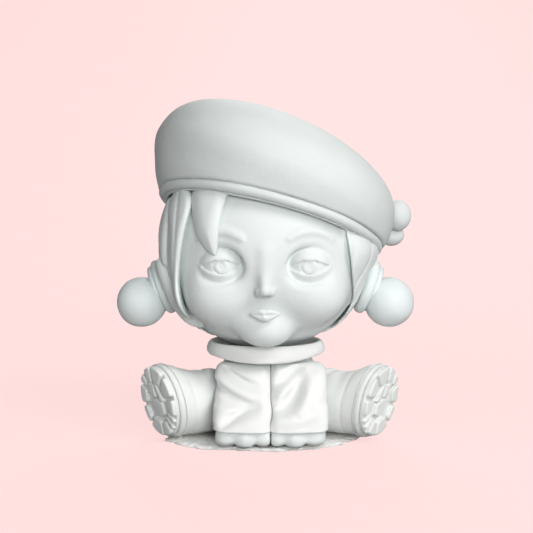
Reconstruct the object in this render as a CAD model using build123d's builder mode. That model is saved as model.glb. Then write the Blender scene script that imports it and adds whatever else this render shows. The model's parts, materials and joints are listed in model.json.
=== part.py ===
"""Seated art toy: a doll in a beret and ear warmers, resting on its hands between two lug-soled boots.

The figure sits on the XY plane, faces -Y, and its left side is +X. Each piece is a separate vinyl moulding.
The head turns on a flanged neck pin, the arms swing on a cross pin, and the legs twist on hip pins.
"""

from build123d import *

import os
from math import cos, pi, radians, sin

# Gaps and walls, in millimetres
GAP = 0.25  # between pieces that stand side by side
RUN = 0.05  # radial clearance of a pin that turns
WALL = 2.4  # shell thickness

# Cast skirt under the seat
SKIRT_T = 1.4
SKIRT_HALF = (47.0, 30.0)
SKIRT_Y = -8.0
SKIRT_POINTS = 36
SKIRT_RAGGED = 0.012
FLOOR_Z = SKIRT_T + GAP  # the moving pieces stay above this

# Torso
TORSO_Y = 4.0
TORSO_R = 23.0
TORSO_FOOT = 3.0
SHOULDER_R_TOP = 14.5
SHOULDER_FALL = 8.0
TORSO_TOP = 33.5
CORE_R = 11.5
CORE_Y = 12.0
CORE_Z = (5.0, 20.5)
RECESS_Y = -2.5  # flat chest behind the arms
KEEL_HALF = 4.0
KEEL_R = 6.0

# Collar, a bowl with a flared wall
COLLAR_Z = 33.7
COLLAR_FLOOR = 1.8
COLLAR_TOP = 41.0
COLLAR_R = 24.2
COLLAR_FLARE = 2.0
COLLAR_WALL = 3.6
COLLAR_ROUND = 1.2

# Neck pin
NECK_X = -1.3  # the head sits a little to the figure's right
NECK_R = 6.0
NECK_LOW = 22.5
NECK_STUB_R = 9.0
NECK_STUB_TOP = 36.8
NECK_BOSS_R = 10.5
NECK_BOSS_LOW = 38.3
NECK_BOSS_TOP = 42.5
NECK_FLANGE_R = 9.0
NECK_FLANGE_T = 2.0

# Head and hair, measured from the head's centre
HEAD_Z = 81.4
FACE_R = 44.0
NOSE_R = 2.6
NOSE_DIP = 13.0  # degrees below the horizon
HAIR_R = 46.8
HAIR_LOW = -38.5
LOCK_LOW = -39.3
HAIR_HIGH = 18.0  # above the band plane, under the beret
FRINGE_R = 48.4
SIDE_R = 50.0
UPPER_R = 48.4
TAIL_R = 49.8
LOCK_START = 14.0
LOCK_INSET = 22.0

# Beret: the plane of its band leans to the figure's left and back
BERET_ROLL = 14.7
BERET_PITCH = 14.0
BAND_LOW = 9.0
BAND_HIGH = 13.7
BAND_R = 49.6
BAND_T = 4.6
BAND_SHIFT = -1.5
BAND_ROUND = 1.7
CROWN_ROLL = 10.5  # how much further the crown leans than the band
CROWN_SHIFT = -3.2
CROWN_RISE = 29.9
CROWN_FOOT = (43.0, -30.0)
CROWN_BULGE = (55.5, -2.9)
CROWN_TOP = 25.4

# Ear warmers, placed from the head's centre
EAR_AT = (44.0, -1.0, -17.0)
EAR_DROOP = 20.0
CUP_R = 11.8
CUP_FACE = 2.2
CUP_ROOT = 3.0
RING_R = 9.8
RING_FACE = 4.2
BALL_AT = (53.3, -4.0, -23.5)
BALL_R = 10.75
EAR_PIN_R = 2.0
EAR_PIN_TIP = 54.0
EAR_PIN_HEAD = 3.2

# Bow behind the band, placed from the head's centre
BOW_KNOT = (51.2, 26.5, 9.0)
BOW_KNOT_R = 4.2
BOW_LOOPS = {"upper": (60.2, 22.5, 14.8), "lower": (56.8, 29.5, 4.9)}
BOW_LOOP_R = 5.2
BOW_LOOP_NECK = 1.6

# Arms
PIVOT_Y = -14.2
PIVOT_Z = 21.9
ARM_X = 12.2
SHOULDER_R = 11.4
HEM_R = 12.4
HEM_AT = (12.6, -25.5)
HEM_Z = 8.0
SLEEVE_INNER = 0.5
HAND_R = 10.4
FINGER_R = 3.6
FINGER_REACH = 9.4
FINGER_FAN = 44.0
WRIST_R = 5.0
WRIST_LONG = 6.0
ARM_SWING = 30  # degrees forward
ARM_SWING_STEP = 5
SHOULDER_PIN_R = 2.0
SHOULDER_PIN_END = 10.0
PIN_HEAD_R = 2.9
PIN_HEAD_T = 2.0

# Legs and boots, along the leg's own axis
HIP_AT = (14.5, 2.5)
LEG_Z = 15.4
LEG_SPLAY = 35.0  # degrees forward of sideways
LEG_R = 12.2
LEG_END = 12.0
BOOT_R = 12.6
BOOT_SHAFT_END = 21.0
BOOT_FLARE_END = 30.0
BOOT_END = 34.5
SOLE_RISE = 2.5
SOLE_HALF = (15.2, 13.6)
WELT_T = 2.8
WELT_LIP = 0.5
OUTSOLE_T = 1.6
LUG_T = 1.6
LUG_RING = 5.0
LUG_COUNT = 10
LUG_GAP = 1.6
HEEL_LUG = 7.0
HEEL_LUG_AT = 4.2
HIP_PIN_R = 3.0
HIP_PIN_BITE = 9.0
HIP_PIN_REACH = 9.0
HIP_HEAD_R = 4.4
LEG_ROOM_R = LEG_R + 1.0
LEG_ROOM_LONG = 60.0

HEAD = Vector(NECK_X, 0, HEAD_Z)


def beret_plane(roll, origin=HEAD):
    """Plane whose normal leans left by a roll angle and back by the beret's pitch."""
    side, back = radians(roll), radians(BERET_PITCH)
    normal = Vector(sin(side), cos(side) * sin(back), cos(side) * cos(back))
    across = Vector(1, 0, 0) - normal * normal.X
    return Plane(origin=origin, x_dir=across, z_dir=normal)


def side_plane(plane):
    """Section plane through a plane's normal: x stays, y runs along the normal."""
    return Plane(origin=plane.origin, x_dir=plane.x_dir, z_dir=plane.x_dir.cross(plane.z_dir))


def bar(radius, low, high, plane=Plane.XY, mode=Mode.ADD):
    """Round bar between two distances along a plane's normal."""
    with Locations(plane * Pos(0, 0, (low + high) / 2)):
        Cylinder(radius, high - low, mode=mode)


def ball(radius, centre=HEAD, mode=Mode.ADD):
    """Ball about a centre, the head's by default."""
    with Locations(centre):
        Sphere(radius, mode=mode)


pieces = {}


def keep(name, part):
    """Labels a finished piece and lists it for export."""
    part.label = name
    pieces[name] = part


def keep_pair(name, part, middle=Plane.YZ):
    """Keeps a left piece and its mirror image across a middle plane."""
    with BuildPart() as other:
        mirror(part, about=middle)
    keep(f"left_{name}", part)
    keep(f"right_{name}", other.part)


band_plane = beret_plane(BERET_ROLL)
crown_centre = band_plane.from_local_coords(Vector(CROWN_SHIFT, 0, CROWN_RISE))
crown_plane = beret_plane(BERET_ROLL + CROWN_ROLL, crown_centre)
leg_way = Vector(cos(radians(LEG_SPLAY)), -sin(radians(LEG_SPLAY)), 0)
leg_plane = Plane(origin=(*HIP_AT, LEG_Z), x_dir=(0, 0, 1), z_dir=leg_way)
ear_way = Vector(cos(radians(EAR_DROOP)), 0, -sin(radians(EAR_DROOP)))
ear_plane = Plane(origin=HEAD + Vector(EAR_AT), x_dir=(0, 1, 0), z_dir=ear_way)
ear_pin_plane = Plane(origin=HEAD, x_dir=(0, 1, 0), z_dir=BALL_AT)
head_middle = Plane.YZ.offset(NECK_X)
neck_plane = Plane.XY.shift_origin((NECK_X, 0, 0))
pivot_plane = Plane(origin=(0, PIVOT_Y, PIVOT_Z), x_dir=(0, 1, 0), z_dir=(1, 0, 0))
ball_centre = HEAD + Vector(BALL_AT)

# ---------------------------------------------------------------- shared cutters

with BuildPart() as leg_room:
    bar(LEG_ROOM_R, 0, LEG_ROOM_LONG, leg_plane)
    mirror(about=Plane.YZ)

with BuildPart() as hip_bores:
    bar(HIP_PIN_R, -HIP_PIN_BITE, 0, leg_plane)
    mirror(about=Plane.YZ)

with BuildPart() as ear_bores:
    bar(EAR_PIN_R, FACE_R / 2, EAR_PIN_TIP, ear_pin_plane)
    mirror(about=head_middle)

with BuildPart() as ear_room:
    bar(CUP_R + GAP, -CUP_ROOT, CUP_FACE, ear_plane)
    mirror(about=head_middle)

with BuildPart() as beret_room:
    bar(2 * BAND_R, BAND_LOW - GAP, 3 * BAND_R, band_plane)

# ---------------------------------------------------------------- skirt, torso and collar

with BuildPart() as base_skirt:
    with BuildSketch():
        with BuildLine():
            rim = []
            for i in range(SKIRT_POINTS):
                turn = 2 * pi * i / SKIRT_POINTS
                ragged = 1 + SKIRT_RAGGED * (sin(7 * turn) + cos(11 * turn))
                rim.append((SKIRT_HALF[0] * ragged * cos(turn), SKIRT_Y + SKIRT_HALF[1] * ragged * sin(turn)))
            Spline(*rim, periodic=True)
        make_face()
    extrude(amount=SKIRT_T)
keep("base_skirt", base_skirt.part)

with BuildPart() as torso:
    with BuildSketch(Plane.XZ.offset(-TORSO_Y)):
        with BuildLine():
            Polyline((0, TORSO_TOP), (0, SKIRT_T), (TORSO_R - TORSO_FOOT, SKIRT_T))
            RadiusArc((TORSO_R - TORSO_FOOT, SKIRT_T), (TORSO_R, SKIRT_T + TORSO_FOOT), -TORSO_FOOT)
            Line((TORSO_R, SKIRT_T + TORSO_FOOT), (TORSO_R, TORSO_TOP - SHOULDER_FALL))
            RadiusArc((TORSO_R, TORSO_TOP - SHOULDER_FALL), (SHOULDER_R_TOP, TORSO_TOP), -1.3 * SHOULDER_FALL)
            Line((SHOULDER_R_TOP, TORSO_TOP), (0, TORSO_TOP))
        make_face()
    revolve(axis=Axis((0, TORSO_Y, 0), (0, 0, 1)))
    with Locations((0, RECESS_Y, TORSO_TOP / 2)):
        Box(4 * TORSO_R, 2 * TORSO_R, 2 * TORSO_TOP, align=(Align.CENTER, Align.MAX, Align.CENTER),
            mode=Mode.SUBTRACT)
    bar(KEEL_R, -KEEL_HALF, KEEL_HALF, pivot_plane)
    with Locations((0, PIVOT_Y, PIVOT_Z)):
        Box(2 * KEEL_HALF, RECESS_Y - PIVOT_Y, 2 * KEEL_R, align=(Align.CENTER, Align.MIN, Align.CENTER))
    bar(NECK_STUB_R, TORSO_TOP, NECK_STUB_TOP, neck_plane)
    bar(CORE_R, *CORE_Z, Plane.XY.shift_origin((0, CORE_Y, 0)), mode=Mode.SUBTRACT)
    bar(NECK_R, NECK_LOW, NECK_STUB_TOP, neck_plane, mode=Mode.SUBTRACT)
    bar(SHOULDER_PIN_R, -KEEL_HALF, KEEL_HALF, pivot_plane, mode=Mode.SUBTRACT)
    add(leg_room.part, mode=Mode.SUBTRACT)
    add(hip_bores.part, mode=Mode.SUBTRACT)

parting = Plane.XZ.offset(-CORE_Y)
with BuildPart() as torso_front:
    add(torso.part)
    split(bisect_by=parting, keep=Keep.TOP)
keep("torso_front", torso_front.part)

with BuildPart() as torso_back:
    add(torso.part)
    split(bisect_by=parting, keep=Keep.BOTTOM)
keep("torso_back", torso_back.part)

with BuildPart() as collar:
    with BuildSketch(Plane.XZ.shift_origin(neck_plane.origin)):
        foot, lip = COLLAR_R, COLLAR_R + COLLAR_FLARE
        brim = COLLAR_TOP - COLLAR_ROUND
        with BuildLine():
            Polyline(
                (lip - COLLAR_WALL, brim),
                (foot - COLLAR_WALL, COLLAR_Z + COLLAR_FLOOR),
                (NECK_STUB_R + GAP, COLLAR_Z + COLLAR_FLOOR),
                (NECK_STUB_R + GAP, COLLAR_Z),
                (foot - COLLAR_ROUND, COLLAR_Z),
            )
            RadiusArc((foot - COLLAR_ROUND, COLLAR_Z), (foot, COLLAR_Z + COLLAR_ROUND), -COLLAR_ROUND)
            Line((foot, COLLAR_Z + COLLAR_ROUND), (lip, brim))
            ThreePointArc((lip, brim), (lip - COLLAR_WALL / 2, COLLAR_TOP), (lip - COLLAR_WALL, brim))
        make_face()
    revolve(axis=Axis(neck_plane.origin, neck_plane.z_dir))
keep("collar", collar.part)

with BuildPart() as neck_pin:
    flange_low = NECK_BOSS_TOP + RUN
    bar(NECK_R, NECK_LOW, flange_low, neck_plane)
    bar(NECK_FLANGE_R, flange_low, flange_low + NECK_FLANGE_T, neck_plane)
    fillet(neck_pin.faces().sort_by(Axis.Z)[-1].edges(), NECK_FLANGE_T / 3)
keep("neck_pin", neck_pin.part)

with BuildPart() as shoulder_pin:
    bar(SHOULDER_PIN_R, -SHOULDER_PIN_END, SHOULDER_PIN_END, pivot_plane)
    bar(PIN_HEAD_R, SHOULDER_PIN_END, SHOULDER_PIN_END + PIN_HEAD_T, pivot_plane)
    bar(PIN_HEAD_R, -SHOULDER_PIN_END - PIN_HEAD_T, -SHOULDER_PIN_END, pivot_plane)
keep("shoulder_pin", shoulder_pin.part)

with BuildPart() as hip_pin:
    bar(HIP_PIN_R, -HIP_PIN_BITE, HIP_PIN_REACH + RUN, leg_plane)
    bar(HIP_HEAD_R, HIP_PIN_REACH + RUN, HIP_PIN_REACH + PIN_HEAD_T, leg_plane)
keep_pair("hip_pin", hip_pin.part)

# ---------------------------------------------------------------- arms

arm_start = Vector(ARM_X, PIVOT_Y, PIVOT_Z)
arm_vector = Vector(*HEM_AT, HEM_Z) - arm_start
arm_plane = Plane(origin=arm_start, x_dir=(1, 0, 0), z_dir=arm_vector)
hem_plane = Plane.XY.shift_origin((*HEM_AT, 0))
with BuildPart() as sleeve:
    with Locations(arm_plane * Pos(0, 0, arm_vector.length)):
        Cone(SHOULDER_R, 2 * HEM_R - SHOULDER_R, 2 * arm_vector.length)
    split(bisect_by=Plane.XY.offset(HEM_Z), keep=Keep.TOP)
    ball(SHOULDER_R, arm_start)
    split(bisect_by=Plane.YZ.offset(SLEEVE_INNER), keep=Keep.TOP)
    with Locations((KEEL_HALF + GAP, PIVOT_Y - KEEL_R - GAP, PIVOT_Z - KEEL_R - 2 * GAP)):
        Box(ARM_X, ARM_X + KEEL_R, 2 * ARM_X, align=(Align.MAX, Align.MIN, Align.MIN), mode=Mode.SUBTRACT)
    for swing in range(0, ARM_SWING + 1, ARM_SWING_STEP):
        add(leg_room.part.rotate(Axis(pivot_plane.origin, (1, 0, 0)), swing), mode=Mode.SUBTRACT)
    bar(WRIST_R, HEM_Z, HEM_Z + WRIST_LONG, hem_plane, mode=Mode.SUBTRACT)
    bar(SHOULDER_PIN_R + RUN, 0, SHOULDER_PIN_END, pivot_plane, mode=Mode.SUBTRACT)
    bar(PIN_HEAD_R + RUN, SHOULDER_PIN_END - RUN, SHOULDER_PIN_END + PIN_HEAD_T + RUN, pivot_plane,
        mode=Mode.SUBTRACT)
keep_pair("sleeve", sleeve.part)

with BuildPart() as hand:
    with BuildSketch(Plane.XY.offset(FLOOR_Z)):
        with Locations(HEM_AT):
            Circle(HAND_R)
            for fan in (-FINGER_FAN, 0, FINGER_FAN):
                with PolarLocations(FINGER_REACH, 1, start_angle=fan - 90):
                    Circle(FINGER_R)
        with Locations((SLEEVE_INNER, HEM_AT[1])):
            Rectangle(HAND_R, 4 * HAND_R, align=(Align.MAX, Align.CENTER), mode=Mode.SUBTRACT)
    extrude(amount=HEM_Z - FLOOR_Z)
    fillet(hand.faces().sort_by(Axis.Z)[0].edges(), 1.2)
    add(leg_room.part, mode=Mode.SUBTRACT)
    bar(WRIST_R, HEM_Z, HEM_Z + WRIST_LONG, hem_plane)
keep_pair("hand", hand.part)

# ---------------------------------------------------------------- legs and boots

with BuildPart() as leg:
    bar(LEG_R, GAP, LEG_END, leg_plane)
    bar(HIP_PIN_R + RUN, 0, HIP_PIN_REACH, leg_plane, mode=Mode.SUBTRACT)
    bar(HIP_HEAD_R + RUN, HIP_PIN_REACH, LEG_END, leg_plane, mode=Mode.SUBTRACT)
keep_pair("leg", leg.part)

with BuildPart() as boot:
    with BuildSketch(leg_plane.offset(LEG_END)):
        Circle(BOOT_R - 0.3)
    with BuildSketch(leg_plane.offset(BOOT_SHAFT_END)):
        Circle(BOOT_R)
    with BuildSketch(leg_plane.offset(BOOT_FLARE_END)):
        with Locations((0.8 * SOLE_RISE, 0)):
            Ellipse(SOLE_HALF[0] - 0.6, SOLE_HALF[1] - 0.1)
    with BuildSketch(leg_plane.offset(BOOT_END)):
        with Locations((SOLE_RISE, 0)):
            Ellipse(*SOLE_HALF)
    loft()
keep_pair("boot", boot.part)

with BuildPart() as welt:
    with BuildSketch(leg_plane.offset(BOOT_END)):
        with Locations((SOLE_RISE, 0)):
            Ellipse(SOLE_HALF[0] + WELT_LIP, SOLE_HALF[1] + WELT_LIP)
    extrude(amount=WELT_T)
    fillet(welt.edges(), WELT_LIP)
keep_pair("welt", welt.part)

with BuildPart() as outsole:
    sole_at = (SOLE_RISE, 0)
    with BuildSketch(leg_plane.offset(BOOT_END + WELT_T)):
        with Locations(sole_at):
            Ellipse(SOLE_HALF[0] - WELT_LIP, SOLE_HALF[1] - WELT_LIP)
    extrude(amount=OUTSOLE_T)
    with BuildSketch(leg_plane.offset(BOOT_END + WELT_T + OUTSOLE_T)):
        with Locations(sole_at):
            Ellipse(SOLE_HALF[0] - 2 * WELT_LIP, SOLE_HALF[1] - 2 * WELT_LIP)
            Ellipse(SOLE_HALF[0] - LUG_RING, SOLE_HALF[1] - LUG_RING, mode=Mode.SUBTRACT)
            with PolarLocations(SOLE_HALF[0], LUG_COUNT, start_angle=180 / LUG_COUNT):
                Rectangle(SOLE_HALF[0], LUG_GAP, mode=Mode.SUBTRACT)
        with Locations((SOLE_RISE + HEEL_LUG_AT, 0), (SOLE_RISE - HEEL_LUG_AT, 0)):
            RectangleRounded(HEEL_LUG, HEEL_LUG, LUG_GAP)
    extrude(amount=LUG_T)
keep_pair("outsole", outsole.part)

# ---------------------------------------------------------------- head and hair

with BuildPart() as face_shell:
    ball(FACE_R)
    nose_way = Vector(0, -cos(radians(NOSE_DIP)), -sin(radians(NOSE_DIP)))
    ball(NOSE_R, HEAD + nose_way * (FACE_R - NOSE_R / 3))
    ball(FACE_R - WALL, mode=Mode.SUBTRACT)
    bar(NECK_BOSS_R, NECK_BOSS_LOW, NECK_BOSS_TOP, neck_plane)
    bar(NECK_R + RUN, 0, NECK_BOSS_TOP, neck_plane, mode=Mode.SUBTRACT)
    add(ear_bores.part, mode=Mode.SUBTRACT)
keep("face_shell", face_shell.part)

head_front = Plane(origin=HEAD, x_dir=(1, 0, 0), z_dir=(0, -1, 0))
head_right = Plane(origin=HEAD, x_dir=(0, -1, 0), z_dir=(-1, 0, 0)).offset(LOCK_INSET)

with BuildPart() as hair_back:
    ball(HAIR_R)
    ball(FACE_R + GAP, mode=Mode.SUBTRACT)
    with BuildSketch(head_front):
        with BuildLine():
            Spline((-30, 27), (-34.5, 8), (-34.5, -18), (-26, -36), (-20, -52))
            Line((-20, -52), (20, -52))
            Spline((20, -52), (25, -38), (35.5, -22), (33, -6), (31, 9), (27, 24))
            Line((27, 24), (-30, 27))
        make_face()
    extrude(amount=2 * HAIR_R, mode=Mode.SUBTRACT)
    split(bisect_by=Plane.XY.offset(HEAD_Z + HAIR_LOW), keep=Keep.TOP)
    split(bisect_by=band_plane.offset(HAIR_HIGH), keep=Keep.BOTTOM)
    add(ear_bores.part, mode=Mode.SUBTRACT)
keep("hair_back", hair_back.part)


locks = []


def lock(name, plane, radius, outline):
    """Lock of hair: an outline drawn on the front or side view, raised to a radius over the head."""
    with BuildPart() as piece:
        with BuildSketch(plane.offset(LOCK_START)):
            with BuildLine():
                Spline(*outline, periodic=True)
            make_face()
        extrude(amount=HAIR_R)
        ball(radius, mode=Mode.INTERSECT)
        ball(FACE_R + GAP, mode=Mode.SUBTRACT)
        for neighbour in (hair_back.part, beret_room.part, ear_room.part, *locks):
            add(neighbour, mode=Mode.SUBTRACT)
        split(bisect_by=Plane.XY.offset(HEAD_Z + LOCK_LOW), keep=Keep.TOP)
    locks.append(piece.part)
    keep(name, piece.part)


lock(
    "fringe_lock", head_front, FRINGE_R,
    [(-29, 24), (-23, 28), (-15, 25), (-17.5, 17), (-18.8, 9.5), (-20.3, 0.5), (-24, 3), (-26.8, 7),
     (-28.5, 13)],
)
lock(
    "right_side_lock", head_front, SIDE_R,
    [(-39.5, 20), (-34, 28), (-30.5, 20), (-33.5, 0), (-34, -20), (-32, -34.5), (-37, -28), (-39.5, -12)],
)
lock(
    "right_rear_lock", head_right, TAIL_R,
    [(14, -5), (18, -9), (20.5, -18), (18, -29), (13.5, -31), (14, -16)],
)
lock(
    "right_upper_lock", head_right, UPPER_R,
    [(10, 22), (18, 14), (21, 0), (19, -8), (14, 2), (9, 12)],
)
lock(
    "left_side_lock", head_front, SIDE_R,
    [(32, 8), (38, 6), (44, -4), (44.5, -16), (39, -30), (28, -39.5), (22, -41), (29, -34), (35, -25),
     (35.5, -14), (33, -4)],
)

# ---------------------------------------------------------------- beret and bow

band_centre = band_plane.from_local_coords(Vector(BAND_SHIFT, 0, 0))
with BuildPart() as beret_band:
    with BuildSketch(side_plane(band_plane)):
        with Locations((BAND_SHIFT + BAND_R, (BAND_LOW + BAND_HIGH) / 2)):
            RectangleRounded(BAND_T, BAND_HIGH - BAND_LOW, BAND_ROUND, align=(Align.MAX, Align.CENTER))
    revolve(axis=Axis(band_centre, band_plane.z_dir))
    ball(HAIR_R + RUN, mode=Mode.SUBTRACT)
keep("beret_band", beret_band.part)

with BuildPart() as crown_mass:
    with BuildSketch(side_plane(crown_plane)):
        with BuildLine():
            Line((0, CROWN_TOP), (0, CROWN_FOOT[1]))
            Line((0, CROWN_FOOT[1]), CROWN_FOOT)
            Spline(CROWN_FOOT, (51.4, -15), CROWN_BULGE, (54, 5.2), (43.2, 15.7), (24.7, 22.8),
                   (0, CROWN_TOP), tangents=((0.35, 1), (-1, 0)))
        make_face()
    revolve(axis=Axis(crown_plane.origin, crown_plane.z_dir))
    split(bisect_by=band_plane.offset(BAND_HIGH), keep=Keep.TOP)

with BuildPart() as beret_crown:
    add(crown_mass.part)
    rim_face = beret_crown.faces().sort_by(Axis(band_plane.origin, band_plane.z_dir))[0]
    offset(amount=-WALL, openings=rim_face)
    ball(HAIR_R + GAP, mode=Mode.SUBTRACT)
keep("beret_crown", beret_crown.part)

knot_centre = HEAD + Vector(BOW_KNOT)
with BuildPart() as bow_knot:
    ball(BOW_KNOT_R, knot_centre)
    add(crown_mass.part, mode=Mode.SUBTRACT)
keep("bow_knot", bow_knot.part)

bow = [crown_mass.part, bow_knot.part]
for which, place in BOW_LOOPS.items():
    reach = HEAD + Vector(place) - knot_centre
    loop_plane = Plane(origin=knot_centre, z_dir=reach)
    with BuildPart() as bow_loop:
        ball(BOW_LOOP_R, HEAD + Vector(place))
        with Locations(loop_plane * Pos(0, 0, reach.length / 2)):
            Cone(BOW_LOOP_NECK, BOW_LOOP_R - BOW_LOOP_NECK / 2, reach.length)
        for neighbour in bow:
            add(neighbour, mode=Mode.SUBTRACT)
    bow.append(bow_loop.part)
    keep(f"bow_{which}_loop", bow_loop.part)

# ---------------------------------------------------------------- ear warmers

with BuildPart() as ear_cup:
    bar(CUP_R, -CUP_ROOT, CUP_FACE, ear_plane)
    fillet(ear_cup.faces().sort_by(Axis(ear_plane.origin, ear_way))[-1].edges(), 1.0)
    ball(HAIR_R + RUN, mode=Mode.SUBTRACT)
    ball(BALL_R + RUN, ball_centre, mode=Mode.SUBTRACT)
    add(ear_bores.part, mode=Mode.SUBTRACT)
keep_pair("ear_cup", ear_cup.part, head_middle)

with BuildPart() as ear_ring:
    bar(RING_R, CUP_FACE, RING_FACE, ear_plane)
    fillet(ear_ring.faces().sort_by(Axis(ear_plane.origin, ear_way))[-1].edges(), 1.0)
    ball(BALL_R + RUN, ball_centre, mode=Mode.SUBTRACT)
keep_pair("ear_ring", ear_ring.part, head_middle)

with BuildPart() as ear_ball:
    ball(BALL_R, ball_centre)
    add(ear_bores.part, mode=Mode.SUBTRACT)
keep_pair("ear_ball", ear_ball.part, head_middle)

with BuildPart() as ear_pin:
    pin_head = FACE_R - WALL - PIN_HEAD_T
    bar(EAR_PIN_R, pin_head, EAR_PIN_TIP, ear_pin_plane)
    bar(EAR_PIN_HEAD, pin_head - PIN_HEAD_T, pin_head, ear_pin_plane)
keep_pair("ear_pin", ear_pin.part, head_middle)

os.makedirs("parts", exist_ok=True)
for name, part in pieces.items():
    export_step(part, os.path.join("parts", f"{name}.step"))
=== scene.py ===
import json
import math

import bpy
import numpy as np
import openvdb
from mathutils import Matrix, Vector


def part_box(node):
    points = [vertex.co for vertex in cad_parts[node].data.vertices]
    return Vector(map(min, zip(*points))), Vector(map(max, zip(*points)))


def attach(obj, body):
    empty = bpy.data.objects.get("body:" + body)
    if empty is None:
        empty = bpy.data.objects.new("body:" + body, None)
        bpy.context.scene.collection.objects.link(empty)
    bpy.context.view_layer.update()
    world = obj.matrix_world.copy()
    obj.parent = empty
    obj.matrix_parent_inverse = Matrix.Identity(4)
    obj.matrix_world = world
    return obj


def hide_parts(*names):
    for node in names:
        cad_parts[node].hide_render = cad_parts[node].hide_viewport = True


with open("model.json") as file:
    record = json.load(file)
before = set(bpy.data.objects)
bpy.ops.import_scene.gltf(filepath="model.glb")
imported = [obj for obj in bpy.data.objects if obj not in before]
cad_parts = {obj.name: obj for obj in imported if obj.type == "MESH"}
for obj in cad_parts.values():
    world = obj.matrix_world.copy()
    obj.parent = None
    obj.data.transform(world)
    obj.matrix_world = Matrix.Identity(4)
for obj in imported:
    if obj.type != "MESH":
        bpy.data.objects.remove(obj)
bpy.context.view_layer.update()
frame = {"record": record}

# Lengths below are in millimetres; meshes are scaled to metres when they are made.
MM = 0.001
COARSE = 1.0
TINY = 1e-12
REACH = 4.0  # how far from a surface a field is kept


# ---------------- places read from the CAD frame

def cad_box(node):
    """Lowest and highest corner of a CAD node, in millimetres."""
    low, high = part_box(node)
    return np.array(low) / MM, np.array(high) / MM


def unit(v):
    v = np.asarray(v, float)
    return v / np.linalg.norm(v)


JOINTS = {j["name"]: j for j in frame["record"]["behaviour"]["joints"]}


def joint_at(name):
    return np.array(JOINTS[name]["pos_m"]) / MM


face_low, face_high = cad_box("face_shell")
FACE_R = (face_high[0] - face_low[0]) / 2
HEAD = np.array([(face_low[0] + face_high[0]) / 2, face_high[1] - FACE_R, face_high[2] - FACE_R])
hair_low, hair_high = cad_box("hair_back")
HAIR_R = (hair_high[0] - hair_low[0]) / 2
GROUND = cad_box("base_skirt")[1][2]
collar_low, collar_high = cad_box("collar")
PIVOT = joint_at("left_shoulder")
HEM_Z = cad_box("left_hand")[1][2] - 6.0
NECK_R = 6.0  # of the neck's pin

# The band's slope across and back, and how much further the crown slopes, in degrees
ROLL, PITCH, CROWN_EXTRA = 14.7, 14.0, 10.5


def hat_axes(roll):
    """In-plane right, in-plane back and normal of the beret's planes."""
    side, back = math.radians(roll), math.radians(PITCH)
    n = np.array([math.sin(side), math.cos(side) * math.sin(back), math.cos(side) * math.cos(back)])
    u = unit(np.array([1, 0, 0]) - n * n[0])
    return u, np.cross(n, u), n


BAND_U, BAND_V, BAND_N = hat_axes(ROLL)
CROWN_U, CROWN_V, CROWN_N = hat_axes(ROLL + CROWN_EXTRA)
BAND_HIGH = 13.7  # the band's upper edge, up its own normal from the head's centre
CROWN_AT = HEAD + BAND_U * -3.2 + BAND_N * 29.9


# ---------------- fields and meshes

class Field:
    """A block of sample points, with finer spacing between given limits when asked."""

    def __init__(self, low, high, step, fine=None):
        self.axes = []
        for i in range(3):
            gap = step * COARSE
            if fine and fine[i]:
                a, b, small = fine[i]
                small *= COARSE
                line = np.concatenate([np.arange(low[i], a, gap), np.arange(a, b, small),
                                       np.arange(b, high[i] + gap, gap)])
            else:
                line = np.arange(low[i], high[i] + gap, gap)
            self.axes.append(line.astype(np.float32))
        self.x = self.axes[0][:, None, None]
        self.y = self.axes[1][None, :, None]
        self.z = self.axes[2][None, None, :]

    def away(self, c):
        return self.x - np.float32(c[0]), self.y - np.float32(c[1]), self.z - np.float32(c[2])

    def along(self, c, *ways):
        dx, dy, dz = self.away(c)
        return [dx * np.float32(w[0]) + dy * np.float32(w[1]) + dz * np.float32(w[2]) for w in ways]


def smin(a, b, k):
    h = np.clip(0.5 + 0.5 * (b - a) / k, 0, 1)
    return b + (a - b) * h - k * h * (1 - h)


def smax(a, b, k):
    return -smin(-a, -b, k)


def step01(x, a, b):
    t = np.clip((x - a) / (b - a), 0, 1)
    return t * t * (3 - 2 * t)


def bell(x):
    return np.exp(-x ** 2)


def ball(f, c, r):
    dx, dy, dz = f.away(c)
    return np.sqrt(dx * dx + dy * dy + dz * dz) - r


def egg(f, c, radii):
    """Ellipsoid about c with half-axes along x, y and z."""
    p = f.away(c)
    a = sum((q / r) ** 2 for q, r in zip(p, radii))
    b = sum((q / (r * r)) ** 2 for q, r in zip(p, radii))
    k = np.sqrt(a)
    return k * (k - 1) / np.sqrt(b + TINY)


def rod(f, a, b, ra, rb):
    """Rounded bar from a to b with a radius at each end."""
    a, b = np.asarray(a, float), np.asarray(b, float)
    d = b - a
    dx, dy, dz = f.away(a)
    t = np.clip((dx * d[0] + dy * d[1] + dz * d[2]) / (d @ d), 0, 1).astype(np.float32)
    gap = np.sqrt((dx - t * d[0]) ** 2 + (dy - t * d[1]) ** 2 + (dz - t * d[2]) ** 2)
    return gap - (ra + (rb - ra) * t)


def curve(points, n=12, closed=False):
    """Catmull-Rom curve through points."""
    p = np.asarray(points, float)
    if closed:
        p = np.concatenate([p[-1:], p, p[:2]])
    else:
        p = np.concatenate([2 * p[:1] - p[1:2], p, 2 * p[-1:] - p[-2:-1]])
    out = []
    t = np.linspace(0, 1, n, endpoint=False)[:, None]
    for i in range(1, len(p) - 2):
        a, b, c, d = p[i - 1], p[i], p[i + 1], p[i + 2]
        out.append(0.5 * (2 * b + (c - a) * t + (2 * a - 5 * b + 4 * c - d) * t ** 2
                          + (3 * b - a - 3 * c + d) * t ** 3))
    if not closed:
        out.append(p[-2:-1])
    return np.concatenate(out)


def strand(f, points, radii, n=5):
    """Union of rounded bars along a curve; each point carries a radius."""
    path = curve(np.column_stack([np.asarray(points, float), radii]), n)
    d = None
    for a, b in zip(path[:-1], path[1:]):
        r = rod(f, a[:3], b[:3], a[3], b[3])
        d = r if d is None else np.minimum(d, r)
    return d


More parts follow.
